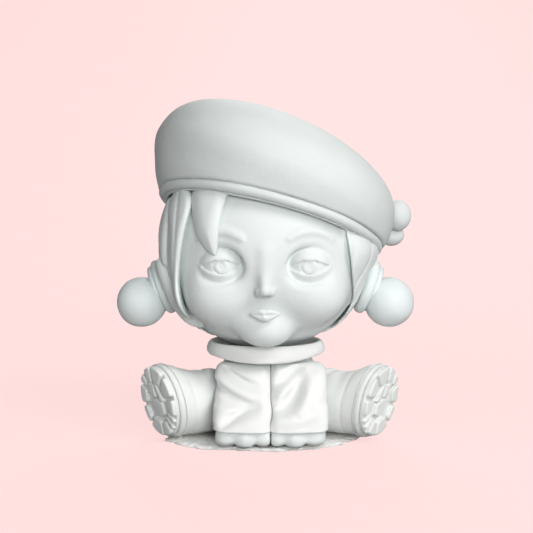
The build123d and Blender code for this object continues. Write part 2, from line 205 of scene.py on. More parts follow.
def outline(a, b, points, closed_curve=True):
    """Signed distance in a plane to a smooth closed outline: below zero inside."""
    p = curve(points, 8, True) if closed_curve else np.asarray(points, float)
    q = np.roll(p, -1, axis=0)
    best, inside = None, np.zeros(np.broadcast(a, b).shape, bool)
    for (x0, y0), (x1, y1) in zip(p, q):
        ex, ey = x1 - x0, y1 - y0
        px, py = a - x0, b - y0
        t = np.clip((px * ex + py * ey) / (ex * ex + ey * ey + TINY), 0, 1)
        d = (px - t * ex) ** 2 + (py - t * ey) ** 2
        best = d if best is None else np.minimum(best, d)
        cross = ((y0 <= b) & (y1 > b)) | ((y1 <= b) & (y0 > b))
        if abs(ey) > TINY:
            inside ^= cross & (px - py * ex / ey < 0)
    best = np.sqrt(best)
    return np.where(inside, -best, best).astype(np.float32)


def crease(f, points, depth, left, right):
    """How deep a fold lies along a line on the front view, and how wide it fades on each side of the walk."""
    p = curve(points, 6)
    gx, gz = f.axes[0][:, None], f.axes[2][None, :]
    shape = np.broadcast(gx, gz).shape
    best, side, share = np.full(shape, 1e9), np.zeros(shape), np.zeros(shape)
    for i, ((x0, z0), (x1, z1)) in enumerate(zip(p[:-1], p[1:])):
        ex, ez = x1 - x0, z1 - z0
        t = np.clip(((gx - x0) * ex + (gz - z0) * ez) / (ex * ex + ez * ez), 0, 1)
        dx, dz = gx - x0 - t * ex, gz - z0 - t * ez
        far = np.hypot(dx, dz)
        near = far < best
        best = np.where(near, far, best)
        side = np.where(near, ex * dz - ez * dx, side)
        share = np.where(near, (i + t) / (len(p) - 1), share)
    wide = np.where(side > 0, left, right)
    fade = 0.3 + 0.7 * np.sin(np.pi * share)
    return (depth * bell(best / wide) * fade)[:, None, :].astype(np.float32)


def place(name, data):
    obj = bpy.data.objects.new(name, data)
    bpy.context.scene.collection.objects.link(obj)
    return obj


def add_mesh(name, verts, faces, body, slot, material, sharp=None):
    """A finished piece, in millimetres, that rides a CAD body and stands for the CAD node of its name."""
    mesh = bpy.data.meshes.new(name)
    mesh.from_pydata((np.asarray(verts, float) * MM).tolist(), [], [list(map(int, q)) for q in faces])
    mesh.validate()
    mesh.update()
    mesh.polygons.foreach_set("use_smooth", np.ones(len(mesh.polygons), bool))
    if sharp:
        mesh.set_sharp_from_angle(angle=math.radians(sharp))
    obj = place(name, mesh)
    mesh.materials.append(material)
    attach(obj, body)
    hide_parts(name)


def carve(f, d):
    """Vertices and faces of a field's zero surface, facing outwards."""
    g = openvdb.FloatGrid(REACH)
    block = np.clip(np.broadcast_to(d, [len(a) for a in f.axes]), -REACH, REACH)
    g.copyFromArray(np.ascontiguousarray(block, np.float32))
    pts, quads = g.convertToQuads(0.0)
    v = np.column_stack([np.interp(pts[:, i], np.arange(len(f.axes[i])), f.axes[i]) for i in range(3)])
    q = np.asarray(quads, np.int64)
    return relax(v, q) if len(v) else v, turn_out(v, q)


def turn_out(v, q):
    """The faces, turned over if they enclose less than nothing."""
    a, b, c, d = (v[q[:, i]] for i in range(4))
    volume = np.einsum("ij,ij->", a, np.cross(b, c)) + np.einsum("ij,ij->", a, np.cross(c, d))
    return q[:, ::-1] if volume < 0 else q


def relax(v, q, rounds=2, pull=0.5):
    """A light smoothing that takes off the grid's stepping, then pushes back so nothing shrinks."""
    edges = np.concatenate([q[:, [0, 1]], q[:, [1, 2]], q[:, [2, 3]], q[:, [3, 0]]])
    count = np.bincount(edges.ravel(), minlength=len(v))[:, None].astype(float)
    for k in range(rounds * 2):
        total = np.column_stack([np.bincount(edges[:, 0], v[edges[:, 1], i], len(v))
                                 + np.bincount(edges[:, 1], v[edges[:, 0], i], len(v)) for i in range(3)])
        v = v + (total / np.maximum(count, 1) - v) * (pull if k % 2 == 0 else -pull * 1.04)
    return v


def sculpt(name, f, d, body, slot, material):
    add_mesh(name, *carve(f, d), body, slot, material)


def rings(loops):
    """Quads over a closed stack of closed loops: an array shaped (loops, points, 3)."""
    m, n = loops.shape[:2]
    i, j = np.meshgrid(np.arange(m), np.arange(n), indexing="ij")
    a, b = i * n + j, i * n + (j + 1) % n
    c, d = ((i + 1) % m) * n + (j + 1) % n, ((i + 1) % m) * n + j
    return loops.reshape(-1, 3), np.stack([a, b, c, d], -1).reshape(-1, 4)


def skin(name, loops, body, slot, material, sharp=None):
    verts, quads = rings(loops)
    add_mesh(name, verts, turn_out(verts, quads), body, slot, material, sharp)


def outward(spokes, least=1e-6):
    """Unit directions of an array of spokes."""
    return spokes / np.maximum(np.linalg.norm(spokes, axis=2, keepdims=True), least)


def lathe(name, profile, at, u, v, n, body, slot, material, turns=160, shape=None, sharp=None):
    """Turns a closed (radius, height) profile about an axis; shape may bend the result."""
    p = np.asarray(profile, float)
    t = np.linspace(0, 2 * math.pi, turns, endpoint=False)
    ring = np.cos(t)[:, None] * u + np.sin(t)[:, None] * v
    loops = at + p[None, :, 0, None] * ring[:, None, :] + p[None, :, 1, None] * n
    if shape:
        loops = shape(loops, t[:, None], p[None])
    skin(name, loops, body, slot, material, sharp)


def lump(points, scale, seed, strength):
    """Smooth, repeatable unevenness made of a few waves."""
    rng = np.random.RandomState(seed)
    total = np.zeros(points.shape[:-1])
    for _ in range(9):
        way = unit(rng.normal(size=3)) / scale * rng.uniform(0.6, 1.6)
        total += np.sin(points @ (way * 2 * math.pi) + rng.uniform(0, 6.28))
    return total * strength / 3


# ---------------- materials

def put(node, **values):
    """Sets a node's inputs; an underscore in a key stands for a space."""
    for key, value in values.items():
        node.inputs[key.replace("_", " ")].default_value = value


def blank(name):
    """A new material with its nodes, its way of linking them and its shader."""
    m = bpy.data.materials.new(name)
    m.use_nodes = True
    nodes = m.node_tree.nodes
    return m, nodes, m.node_tree.links.new, nodes["Principled BSDF"]


def vinyl(name, tint, rough=0.62, grain=1.0, pits=0.5, painted_hollow_shade=(0.86, 0.88, 0.87)):
    """Matte cast vinyl: faint clouding, painted shade in hollows, fine grain, pin-holes and uneven sheen."""
    m, nodes, link, shader = blank(name)
    here = nodes.new("ShaderNodeTexCoord").outputs["Object"]

    def noise(scale, detail, rough_value=0.55):
        t = nodes.new("ShaderNodeTexNoise")
        put(t, Scale=scale, Detail=detail, Roughness=rough_value)
        link(here, t.inputs["Vector"])
        return t.outputs["Fac"]

    def ramp(source, *stops):
        r = nodes.new("ShaderNodeValToRGB")
        for e, (at, colour) in zip(r.color_ramp.elements, stops):
            e.color = (*colour, 1)
        r.color_ramp.elements[0].position, r.color_ramp.elements[1].position = stops[0][0], stops[1][0]
        link(source, r.inputs["Fac"])
        return r.outputs["Color"]

    def times(fac, a, b):
        n = nodes.new("ShaderNodeMix")
        n.data_type, n.blend_type = "RGBA", "MULTIPLY"
        put(n, Factor=fac)
        link(a, n.inputs["A"])
        link(b, n.inputs["B"])
        return n.outputs["Result"]

    def spread(source, **limits):
        n = nodes.new("ShaderNodeMapRange")
        put(n, **limits)
        link(source, n.inputs["Value"])
        return n.outputs["Result"]

    clouds = ramp(noise(35, 4), (0.35, tuple(c * 0.955 for c in tint)), (0.68, tint))
    specks = ramp(noise(900, 3, 0.7), (0.27, (0.88, 0.88, 0.87)), (0.36, (1, 1, 1)))
    # Painted shade: ambient occlusion darkens the base colour in hollows, creases and between parts
    ao = nodes.new("ShaderNodeAmbientOcclusion")
    put(ao, Distance=0.007)
    ao.samples = 6
    shade = ramp(ao.outputs["AO"], (0.25, painted_hollow_shade), (0.85, (1, 1, 1)))
    link(times(1.0, times(0.7, clouds, specks), shade), shader.inputs["Base Color"])
    link(spread(noise(120, 5), To_Min=rough - 0.07, To_Max=rough + 0.09), shader.inputs["Roughness"])
    put(shader, Specular_IOR_Level=0.32, Subsurface_Weight=0.12, Subsurface_Radius=(1.0, 0.85, 0.75),
        Subsurface_Scale=0.0016)

    cells = nodes.new("ShaderNodeTexVoronoi")
    put(cells, Scale=260)
    link(here, cells.inputs["Vector"])
    holes = spread(cells.outputs["Distance"], From_Min=0.02, From_Max=0.10)
    normal = None
    bumps = [(holes, 0.35 * pits, 0.0004), (noise(650, 4, 0.6), 0.30 * grain, 0.00025),
             (noise(70, 3), 0.22 * grain, 0.0012)]
    for source, strength, distance in bumps:
        bump = nodes.new("ShaderNodeBump")
        put(bump, Strength=strength, Distance=distance)
        link(source, bump.inputs["Height"])
        if normal:
            link(normal, bump.inputs["Normal"])
        normal = bump.outputs["Normal"]
    link(normal, shader.inputs["Normal"])
    return m


# The tints differ in brightness to stand in for light and shade: the beret's is darker and the face's a little
# darker as painted shade, the clothes' and the skirt's lighter as painted light; the casting itself is one even
# white. The last colour given to the skirt is its painted shade in hollows.
WHITE = (0.825, 0.862, 0.857)
SKIN = vinyl("matte_vinyl_skin", WHITE, 0.58)
CLOTH = vinyl("matte_vinyl_clothes", (0.90, 0.905, 0.898), 0.66, 1.2, 0.7)
BOOT = vinyl("matte_vinyl_boots", (0.875, 0.888, 0.878), 0.6, 1.0, 0.8)
HAIR = vinyl("matte_vinyl_hair", (0.845, 0.885, 0.878), 0.6)
HAT = vinyl("matte_vinyl_hat", (0.765, 0.80, 0.796), 0.66, 1.3, 0.5)
EAR = vinyl("matte_vinyl_ears", (0.835, 0.892, 0.895), 0.52, 0.7, 0.3)
CAST = vinyl("rough_cast_skirt", (0.97, 0.965, 0.955), 0.75, 1.8, 1.2, (0.88, 0.87, 0.85))
PIN = vinyl("moulded_pin_stock", (0.72, 0.72, 0.70), 0.45, 0.8, 0.3)

# ---------------- head

X, Y, Z = np.eye(3)


def head_point(x, y, z):
    return HEAD + np.array([x, y, z], float)


def skin_y(x, z):
    """How far forward the face's ball reaches at a place on it."""
    return -math.sqrt(max(FACE_R * FACE_R - x * x - z * z, 1))


def arc(f, s, points, radii, lift):
    """A strand on one side of the face, each point raised over the head's ball."""
    return strand(f, [head_point(s * x, skin_y(x, z) + lift, z) for x, z in points], radii)


def face_base(f):
    """The plain head under the features: a ball with cheeks and a small chin, in shares of its radius."""
    d = ball(f, HEAD, FACE_R)
    cheek = (0.30, 0.29, 0.26)
    for at, radii, blend in (((-0.44, -0.64, -0.42), cheek, 8), ((0.44, -0.64, -0.42), cheek, 8),
                             ((0, -0.70, -0.73), (0.24, 0.19, 0.17), 7)):
        d = smin(d, egg(f, HEAD + FACE_R * np.array(at), np.array(radii) * FACE_R), blend)
    return d


def make_face():
    limits = ((-37, 37), (-48, -18), (-43, 24))
    f = Field(HEAD + [-48, -50, -45], HEAD + [48, 48, 48], 1.0,
              [(HEAD[i] + low, HEAD[i] + high, 0.42) for i, (low, high) in enumerate(limits)])
    d = face_base(f)
    eye_x, eye_z, eye_r = FACE_R * 0.4, -6.0, 8.6
    iris_r, pupil_r = 3.3, 1.2
    for s in (-1, 1):
        eye = head_point(eye_x * s, skin_y(eye_x, eye_z) + eye_r - 0.5, eye_z)
        d = smax(d, -egg(f, eye + [0, -7.6, 0.4], (9.6, 4.6, 7.0)), 4.0)
        d = smin(d, arc(f, s, ((9.5, 5.4), (13.5, 7.4), (18.5, 8.2), (23.5, 7.0), (26.5, 4.8)),
                        [0.5, 1.0, 1.2, 0.9, 0.4], 0.2), 2.6)
        d = smin(d, ball(f, eye, eye_r), 1.2)
        lid_shell = np.maximum(ball(f, eye, eye_r + 0.85), -ball(f, eye, eye_r - 1))
        gx, gy, gz = f.away(eye)
        bow = 1 - (gx / 8.2) ** 2
        upper = smax(smax(lid_shell, (0.1 + 2.5 * bow) - gz, 0.6), gy + 1.0, 1.0)
        lower = smax(smax(lid_shell, gz - (-0.7 - 2.7 * bow), 0.6), gy + 1.0, 1.0)
        d = smin(d, upper, 1.0)
        d = smin(d, lower, 1.5)
        iris = np.sqrt(gx ** 2 + (gz - 0.1) ** 2)
        shell = np.abs(ball(f, eye, eye_r))
        front = gy < 0
        d = smax(d, -np.maximum(np.where(front, np.abs(iris - iris_r) - 0.22, 9), shell - 0.28), 0.4)
        d = smax(d, -np.maximum(np.where(front, iris - pupil_r, 9), shell - 0.35), 0.6)
        d = smax(d, -arc(f, s, ((10.4, -0.8), (13.5, 1.5), (17.8, 2.5), (22.0, 1.5), (25.0, -0.8)),
                         [0.25, 0.35, 0.4, 0.35, 0.25], -0.6), 1.3)
    bridge = strand(f, [head_point(0, -42.2, 0), head_point(0, -42.6, -7), head_point(0, -44.0, -12.8),
                        head_point(0, -44.9, -15.4)], [1.4, 1.5, 1.9, 2.4])
    d = smin(d, bridge, 4.6)
    for s in (-1, 1):
        d = smin(d, ball(f, head_point(2.5 * s, -43.0, -16.2), 1.5), 1.8)
        d = smax(d, -egg(f, head_point(1.25 * s, -45.0, -17.7), (0.6, 1.2, 0.55)), 0.7)
    for s in (-1, 1):
        # Upper lip, lower lip and the line between them, about the height of the mouth
        upper, lower, line = (
            strand(f, [head_point(x * s, y, z - 25.0) for x, y, z in points], radii) for points, radii in (
                ([(0, -42.9, 0.9), (1.8, -42.9, 1.25), (5.6, -41.8, 0.4)], [0.95, 1.05, 0.3]),
                ([(0, -42.6, -1.25), (2.6, -42.3, -1.0), (5.4, -41.6, 0)], [1.25, 1.05, 0.3]),
                ([(0, -44.0, -0.2), (3.0, -43.6, -0.15), (6.1, -42.2, 0.3)], [0.32, 0.32, 0.35])))
        d = smax(smin(smin(d, upper, 1.5), lower, 1.6), -line, 0.6)
    d = smax(d, -strand(f, [head_point(0, -45.6, -19.8), head_point(0, -44.9, -22.4)], [0.5, 0.8]), 1.8)
    hx, hy, hz = f.away(HEAD)
    out = np.sqrt(hx ** 2 + hy ** 2)
    # Room for the collar's rim to turn in, a flat foot, and the bore for the neck pin
    channel = np.maximum(f.z - collar_high[2] - 0.6, np.abs(out - 24.1) - 3.1)
    d = smax(d, -channel, 0.8)
    d = smax(d, (collar_low[2] + 4.6) - f.z, 0.8)
    d = smax(d, -(np.maximum(out - NECK_R - 0.1, hz + 34)), 0.4)
    sculpt("face_shell", f, d, "head", "vinyl_body", SKIN)


make_face()


def up_band(hx, hy, hz):
    """Height up the hat band's normal, from the head's centre."""
    return sum(c * w for c, w in zip((hx, hy, hz), BAND_N))


def make_hair():
    f = Field(HEAD + [-51, -50, -41], HEAD + [51, 52, 32], 0.62)
    hx, hy, hz = f.away(HEAD)
    r = np.sqrt(hx * hx + hy * hy + hz * hz)
    turn = np.arctan2(hx, hy)
    down = step01(-hz, -16, 38)
    back = step01(hy, -8, 40)
    count = 22  # broad strands round the head, with three fine ones on each
    sway = 0.22 * np.sin(hz / 17.0) + 0.10 * np.sin(3 * turn)
    part = 1 - np.abs(np.sin((turn + sway * down) * count / 2))
    fine = 1 - np.abs(np.sin((turn * 3 + sway) * count / 2 + 0.7))
    radius = HAIR_R - 0.6 + 2.4 * back * step01(-hz, -22, 12) - 1.2 * step01(-hz, 30, 41)
    radius = radius + 2.8 * step01(hx, 28, 42) * bell((hz + 1) / 9)
    radius = radius - (0.25 + 1.05 * down) * part ** 3 - (0.05 + 0.22 * down) * fine ** 4
    d = r - radius
    tips = -38.3 + 2.6 * part ** 2 + 0.7 * np.sin(turn * 5)
    d = smax(d, tips - hz, 1.6)
    d = smax(d, up_band(hx, hy, hz) - (BAND_HIGH + 2.5), 0.6)
    d = smax(d, (FACE_R + 0.3) - r, 0.4)
    edge = outline(hx[:, 0, 0][:, None], hz[0, 0, :][None, :],
                   [(-30, 27), (-35.2, 8), (-36.6, -10), (-34.6, -24), (-28, -34), (-20, -50), (20, -50),
                    (27, -37), (36, -24), (35.4, -8), (32.5, 9), (28, 24)])[:, None, :]
    d = smax(d, -np.maximum(edge, hy), 1.0)
    sculpt("hair_back", f, d, "head", "vinyl_hair", HAIR)


def lock(name, points, base, lift, width, side=False, comb=(), taper=None, hug=None, soft=False):
    """A proud lock: its outline seen from the front or the right, swelling to a height over the head."""
    p = np.asarray(points, float)
    (a0, z0), (a1, z1) = p.min(axis=0) - 1.5, p.max(axis=0) + 1.5
    low, high = ([-54, -a1, z0], [-26, -a0, z1]) if side else ([a0, -53, z0], [a1, -12, z1])
    f = Field(HEAD + np.array(low), HEAD + np.array(high), 0.4)
    hx, hy, hz = f.away(HEAD)
    r = np.sqrt(hx * hx + hy * hy + hz * hz)
    if side:
        edge = outline(-hy[0, :, 0][:, None], hz[0, 0, :][None, :], points)[None, :, :]
        across = -hy
    else:
        edge = outline(hx[:, 0, 0][:, None], hz[0, 0, :][None, :], points)[:, None, :]
        across = hx
    deep = np.clip(-edge / width, 0, 1)
    swell = lift * (deep * deep * (3 - 2 * deep) if soft else np.sqrt(np.clip(1 - (1 - deep) ** 2, 0, 1)))
    if taper:
        swell = swell * (taper[2] + (1 - taper[2]) * step01(hz, taper[0], taper[1]))
    for offset, lean, depth in comb:
        swell = swell - depth * bell((across - offset - lean * hz) / 0.75)
    if hug:
        swell = swell * (0.45 + 0.55 * step01(hz, hug - 12, hug + 6))
    under = r - FACE_R if side else face_base(f)
    d = smax(under - (base + swell), edge * 0.9, 0.6)
    d = smax(d, -0.6 - under, 0.3)
    d = np.maximum(d, up_band(hx, hy, hz) - BAND_HIGH)
    sculpt(name, f, d, "head", "vinyl_hair", HAIR)


def make_locks():
    lock("fringe_lock", [(-30.2, 25), (-23, 30), (-13.8, 27), (-15.4, 21), (-17.6, 14), (-18.7, 6),
                         (-19.4, -0.6), (-21.2, -1.6), (-24.9, 1.7), (-28.3, 7.0), (-30.0, 15)],
         0.2, 3.9, 5.6, taper=(-3, 10, 0.60))
    lock("right_side_lock", [(-41.2, 20), (-35, 28), (-29.8, 21), (-33.0, 6), (-34.9, -6), (-35.0, -16),
                             (-32.4, -25.5), (-26.8, -34.4), (-21.8, -39.0), (-26.6, -36.6), (-34.6, -28.5),
                             (-38.8, -19), (-40.4, -6), (-40.6, 6)],
         0.9, 3.4, 3.4, comb=[(-37.3, 0.06, 0.35)], hug=-24)
    lock("right_rear_lock", [(13.2, -4), (18, -8), (20.8, -18), (18.8, -28), (14.5, -33), (12.6, -18)],
         HAIR_R - FACE_R - 0.9, 3.0, 3.0, side=True)
    lock("right_upper_lock", [(10, 22), (18, 16), (21, 4), (19.8, -7), (15.6, -2), (11, 9)],
         HAIR_R - FACE_R - 0.8, 1.6, 2.2, side=True)
    lock("left_side_lock", [(30.5, 12), (38, 10), (44.6, -2), (44.4, -14), (39.5, -27), (31, -35.4),
                            (20, -40.6), (17.6, -40.9), (25.4, -36.6), (31.6, -30.4), (35.2, -21),
                            (35.8, -13), (33.2, -3)],
         0.25, 3.7, 7.5, comb=[(40.4, 0.05, 0.5)], hug=-30, soft=True)


# ---------------- beret and bow

# Half of the crown's section, as (radius, height) from where it leaves the band up to its pole
CROWN_LINE = [(44.5, -26.0), (48.6, -20.5), (51.4, -15.0), (54.4, -8.6), (55.5, -2.9), (54.0, 5.2),
              (49.8, 11.2), (43.2, 15.7), (34.6, 19.6), (24.7, 22.8), (12.5, 24.8), (0.0, 25.4)]


def make_crown():
    turns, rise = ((288, 84))
    line = curve(CROWN_LINE, 24)
    line[:, 0] = np.maximum(line[:, 0], 0)
    t = np.linspace(0, 2 * math.pi, turns, endpoint=False)
    ring = np.cos(t)[:, None] * CROWN_U + np.sin(t)[:, None] * CROWN_V
    cloud = CROWN_AT + line[None, :, 0, None] * ring[:, None] + line[None, :, 1, None] * CROWN_N
    height = (cloud - HEAD) @ BAND_N
    loops = []
    for k in range(turns):
        start = np.argmax(height[k] > BAND_HIGH - 0.2)
        path = cloud[k, start:]
        run = np.concatenate([[0], np.cumsum(np.linalg.norm(np.diff(path, axis=0), axis=1))])
        share = np.linspace(0, 1, rise) ** 1.25
        share = share / share[-1] * (1 - 0.03 / run[-1])
        outer = np.column_stack([np.interp(share * run[-1], run, path[:, i]) for i in range(3)])
        loops.append(outer)
    outer = np.array(loops)
    axis = CROWN_AT + CROWN_N * ((outer - CROWN_AT) @ CROWN_N)[..., None]
    out = outward(outer - axis)
    level = np.linspace(0, 1, rise)[None, :]
    swell = lump(outer, 95, 4, 0.55) * np.sin(np.pi * np.clip(level * 1.2, 0, 1))
    ang = t[:, None]
    folds = np.zeros((turns, rise))
    for at, width, depth, reach in ((2.55, 0.16, 0.7, 0.30), (3.35, 0.20, 0.9, 0.36), (0.9, 0.2, 0.8, 0.32),
                                    (1.6, 0.15, 0.7, 0.28), (5.6, 0.24, 0.35, 0.22)):
        gap = (ang - at + math.pi) % (2 * math.pi) - math.pi
        folds -= depth * bell(gap / width) * np.clip(1 - level / reach, 0, 1) ** 1.5
    outer = outer + out * (swell + folds)[..., None]
    high_side = 1.9 * np.clip(np.cos(ang), 0, 1) * np.sin(np.pi * np.clip(level * 1.1, 0, 1))
    outer = outer + CROWN_N * high_side[..., None]
    # The inner skin, and the tucks that join it to the outer one under the band
    tuck = (outer[:, :1] - out[:, :1] * np.array([0.5, 1.3])[None, :, None]
            - BAND_N * np.array([0.55, 0.75])[None, :, None])
    inner = outer[:, ::-3] - (outer[:, ::-3] - CROWN_AT) * 0.05
    base = HEAD + BAND_U * -1.5
    spoke = outer[:, :1] - base
    flat = spoke - BAND_N * (spoke @ BAND_N)[..., None]
    flat /= np.linalg.norm(flat, axis=2, keepdims=True)
    seat = base + flat * 46.2 + BAND_N * (BAND_HIGH - 0.4)
    loops = np.concatenate([outer, inner[:, :-1], seat, tuck[:, ::-1]], axis=1)
    skin("beret_crown", loops, "head", "vinyl_hat", HAT)


def make_band():
    at = HEAD + BAND_U * -1.1
    roll = [(46.2, 9.3), (46.7, 8.9), (47.4, 8.85), (47.7, 9.1), (47.7, 9.35), (47.65, 9.5),
            (48.4, 9.3), (49.5, 9.4), (50.4, 10.0), (50.9, 11.0), (50.8, 12.1), (50.3, 13.0), (49.4, 13.6),
            (48.4, 13.9), (47.4, 13.9), (46.4, 13.7), (45.9, 11.5)]
    path = curve([(r - 1.0, h, 0) for r, h in roll], 4, True)[:, :2]

    def uneven(loops, t, p):
        swell = 1 + 0.05 * np.sin(3 * t + 0.6) + 0.04 * np.sin(7 * t + 2)
        centre = loops.mean(axis=1, keepdims=True)
        return centre + (loops - centre) * swell[..., None] + lump(loops, 30, 9, 0.10)[..., None] * BAND_N

    lathe("beret_band", path, at, BAND_U, BAND_V, BAND_N, "head", "vinyl_hat", HAT, 300, uneven)


def make_bow():
    knot = (np.add(*cad_box("bow_knot"))) / 2
    out = unit(knot - CROWN_AT)
    f = Field(knot - 7, knot + 7, 0.3)
    d = egg(f, knot + out * 0.2, (3.4, 4.6, 4.2))
    for k in (-1.6, 0, 1.7):
        ends = [knot + out * 4.2 + np.array([x, k, k]) for x in (-5, 5)]
        d = smax(d, -rod(f, *ends, 0.5, 0.5), 0.5)
    sculpt("bow_knot", f, d, "head", "vinyl_hat", HAT)
    upper = (head_point(60.0, 22.5, 13.4), (5.6, 5.2, 7.0))
    lower = (head_point(57.4, 28.5, 4.4), (5.9, 5.2, 4.6))
    for name, tip, radii in (("bow_upper_loop", *upper), ("bow_lower_loop", *lower)):
        way = unit(tip - knot)
        side = unit(np.cross(way, out))
        up = np.cross(side, way)
        f = Field(np.minimum(tip - 9, knot - 4), np.maximum(tip + 9, knot + 4), 0.3)
        d = egg(f, tip, radii)
        d = smin(d, rod(f, knot + out, tip, 2.0, 4.2), 3.0)
        for k, depth in ((0.0, 0.55), (2.1, 0.35), (-2.1, 0.35)):
            ends = knot + out * 3.1 + side * k * 0.5, tip - way * 1.0 + up * 4.9 + side * k
            d = smax(d, -rod(f, *ends, depth, 0.1), 0.9)
        if name == "bow_lower_loop":
            d = smax(d, -(egg(f, *upper) - 0.15), 0.4)
        sculpt(name, f, d, "head", "vinyl_hat", HAT)


# ---------------- ear warmers

# The cup and the ring of an ear warmer, as (radius, height) out from the head
EAR_PARTS = {
    "ear_cup": [(0.0, -2.6), (7.0, -2.4), (10.4, -2.2), (11.6, -1.4), (12.0, -0.2), (12.0, 0.8), (11.5, 1.7),
                (10.6, 2.2), (10.0, 2.0), (9.4, 2.2), (5.0, 2.3), (0.0, 2.3)],
    "ear_ring": [(0.0, 1.2), (8.0, 1.2), (9.4, 1.5), (10.1, 2.1), (10.3, 2.9), (10.0, 3.7), (9.2, 4.3),
                 (8.2, 4.4), (7.4, 4.1), (6.6, 4.3), (0.0, 4.4)],
}
EAR_DROOP = math.radians(20)
AXIS_R = 0.02  # the least radius of a turned skin, so that it stays closed


def make_ears():
    for s, side in ((1, "left"), (-1, "right")):
        way = np.array([s * math.cos(EAR_DROOP), 0, -math.sin(EAR_DROOP)])
        at = HEAD + np.array([44.0 * s, -1.0, -17.0])
        for name, profile in EAR_PARTS.items():
            path = curve([(a, b, 0) for a, b in profile], 4)[:, :2]
            path[:, 0] = np.maximum(path[:, 0], AXIS_R)
            lathe(f"{side}_{name}", path, at, Y, np.cross(way, Y), way, "head", "vinyl_ears", EAR, 120)
        low, high = cad_box(f"{side}_ear_ball")
        c, r = (low + high) / 2, (high[0] - low[0]) / 2
        axis = unit(c - HEAD)
        bu = unit(np.cross(axis, X))
        bv = np.cross(axis, bu)
        a = np.linspace(0, math.pi, 64)
        seam = -0.05 * bell((a - math.pi / 2 - 0.06) / 0.03)
        path = np.column_stack([np.maximum((r + seam) * np.sin(a), AXIS_R), -(r + seam) * np.cos(a)])

        def soft(loops, t, p, seed=11 + s):
            return loops + (loops - c) / r * lump(loops, 14, seed, 0.10)[..., None]

        lathe(f"{side}_ear_ball", path, c, bu, bv, axis, "head", "vinyl_ears", EAR, 128, soft)


make_hair()
make_locks()
make_crown()
make_band()
make_bow()
make_ears()

# ---------------- torso, collar and skirt

SPLAY = math.radians(35)  # of each leg from straight sideways
LEG_WAYS = {side: np.array([s * math.cos(SPLAY), -math.sin(SPLAY), 0.0])
            for side, s in (("left", 1), ("right", -1))}
HIPS = {side: joint_at(f"{side}_hip") for side in LEG_WAYS}
BOOT_SHAFT = 13.5  # radius
BOOT_ROOM = BOOT_SHAFT + 0.3  # what stands beside a leg stays clear of this
SOLE_LEAN = 0.19  # the soles' lower edges tuck in
SLEEVE_SHIFT = 0.9  # the gap between the sleeves, off the middle plane
KEEL_R = 6.0  # of the torso's upright plate, which carries the shoulders' pin
SPLIT_Y = 12.0  # where the torso's front and back halves meet


def leg_tunnel(f, side, radius):
    """Distance to a long bar along a leg, for clearing pieces that sit beside it."""
    w = LEG_WAYS[side]
    dx, dy, dz = f.away(HIPS[side])
    t = dx * w[0] + dy * w[1]
    return np.maximum(np.sqrt((dx - t * w[0]) ** 2 + (dy - t * w[1]) ** 2 + dz ** 2) - radius, -t)


def make_torso():
    low, high = cad_box("torso_back")
    middle, top = 4.0, cad_box("collar")[0][2] - 0.2
    wide = (high[0] - low[0]) / 2
    f = Field([-29, -22, GROUND - 1], [29, 31, 39], 0.5)
    bx, by, bz = f.x, f.y - middle, f.z
    round_r = np.sqrt(bx * bx + by * by)
    swell = wide + 0.6 * np.sin((bz - 4) / 30 * math.pi) - 2.4 * step01(bz, 22, top) ** 2
    d = round_r - swell
    for z0, lean, depth, back in ((9, 0.25, 0.9, 1), (15, -0.3, 0.8, 1), (21.5, 0.2, 0.8, -1),
                                  (12, -0.15, 0.6, -1)):
        line = bz - z0 - lean * bx - 1.4 * np.sin(bx / 7.0)
        d = d + depth * bell(line / 1.5) * step01(by, 4, 16) * step01(back * bx, -4, 12)
    d = d + 0.55 * bell(bx / 0.55) * step01(by, 2, 10)
    d = d + 0.6 * bell((bz - 5.2) / 0.6) - 0.5 * step01(-bz, -4.6, -3.4)
    d = smax(d, bz - top, 2.4)
    d = smax(d, GROUND + 0.01 - bz, 0.8)
    d = smax(d, -2.5 - f.y, 0.6)
    keel = np.sqrt((f.y - PIVOT[1]) ** 2 + (f.z - PIVOT[2]) ** 2) - KEEL_R
    plate = np.maximum(np.maximum(np.abs(f.z - PIVOT[2]) - KEEL_R, PIVOT[1] - f.y), f.y)
    d = np.minimum(d, smax(np.minimum(keel, plate), np.abs(f.x - SLEEVE_SHIFT) - 1.0, 0.5))
    # The neck's stub, with a blind bore for its pin
    neck = np.sqrt((f.x - HEAD[0]) ** 2 + f.y ** 2)
    d = np.minimum(d, np.maximum(neck - 9.0, np.abs(f.z - 33) - 3.7))
    d = np.maximum(d, -(neck - 6.02 + np.where(f.z < 22.6, 9, 0)))
    for side in LEG_WAYS:
        d = smax(d, -leg_tunnel(f, side, BOOT_ROOM), 0.5)
    split = f.y - SPLIT_Y
    sculpt("torso_front", f, smax(d, split + 0.02, 0.25), "torso", "vinyl_body", CLOTH)
    sculpt("torso_back", f, smax(d, 0.02 - split, 0.25), "torso", "vinyl_body", CLOTH)


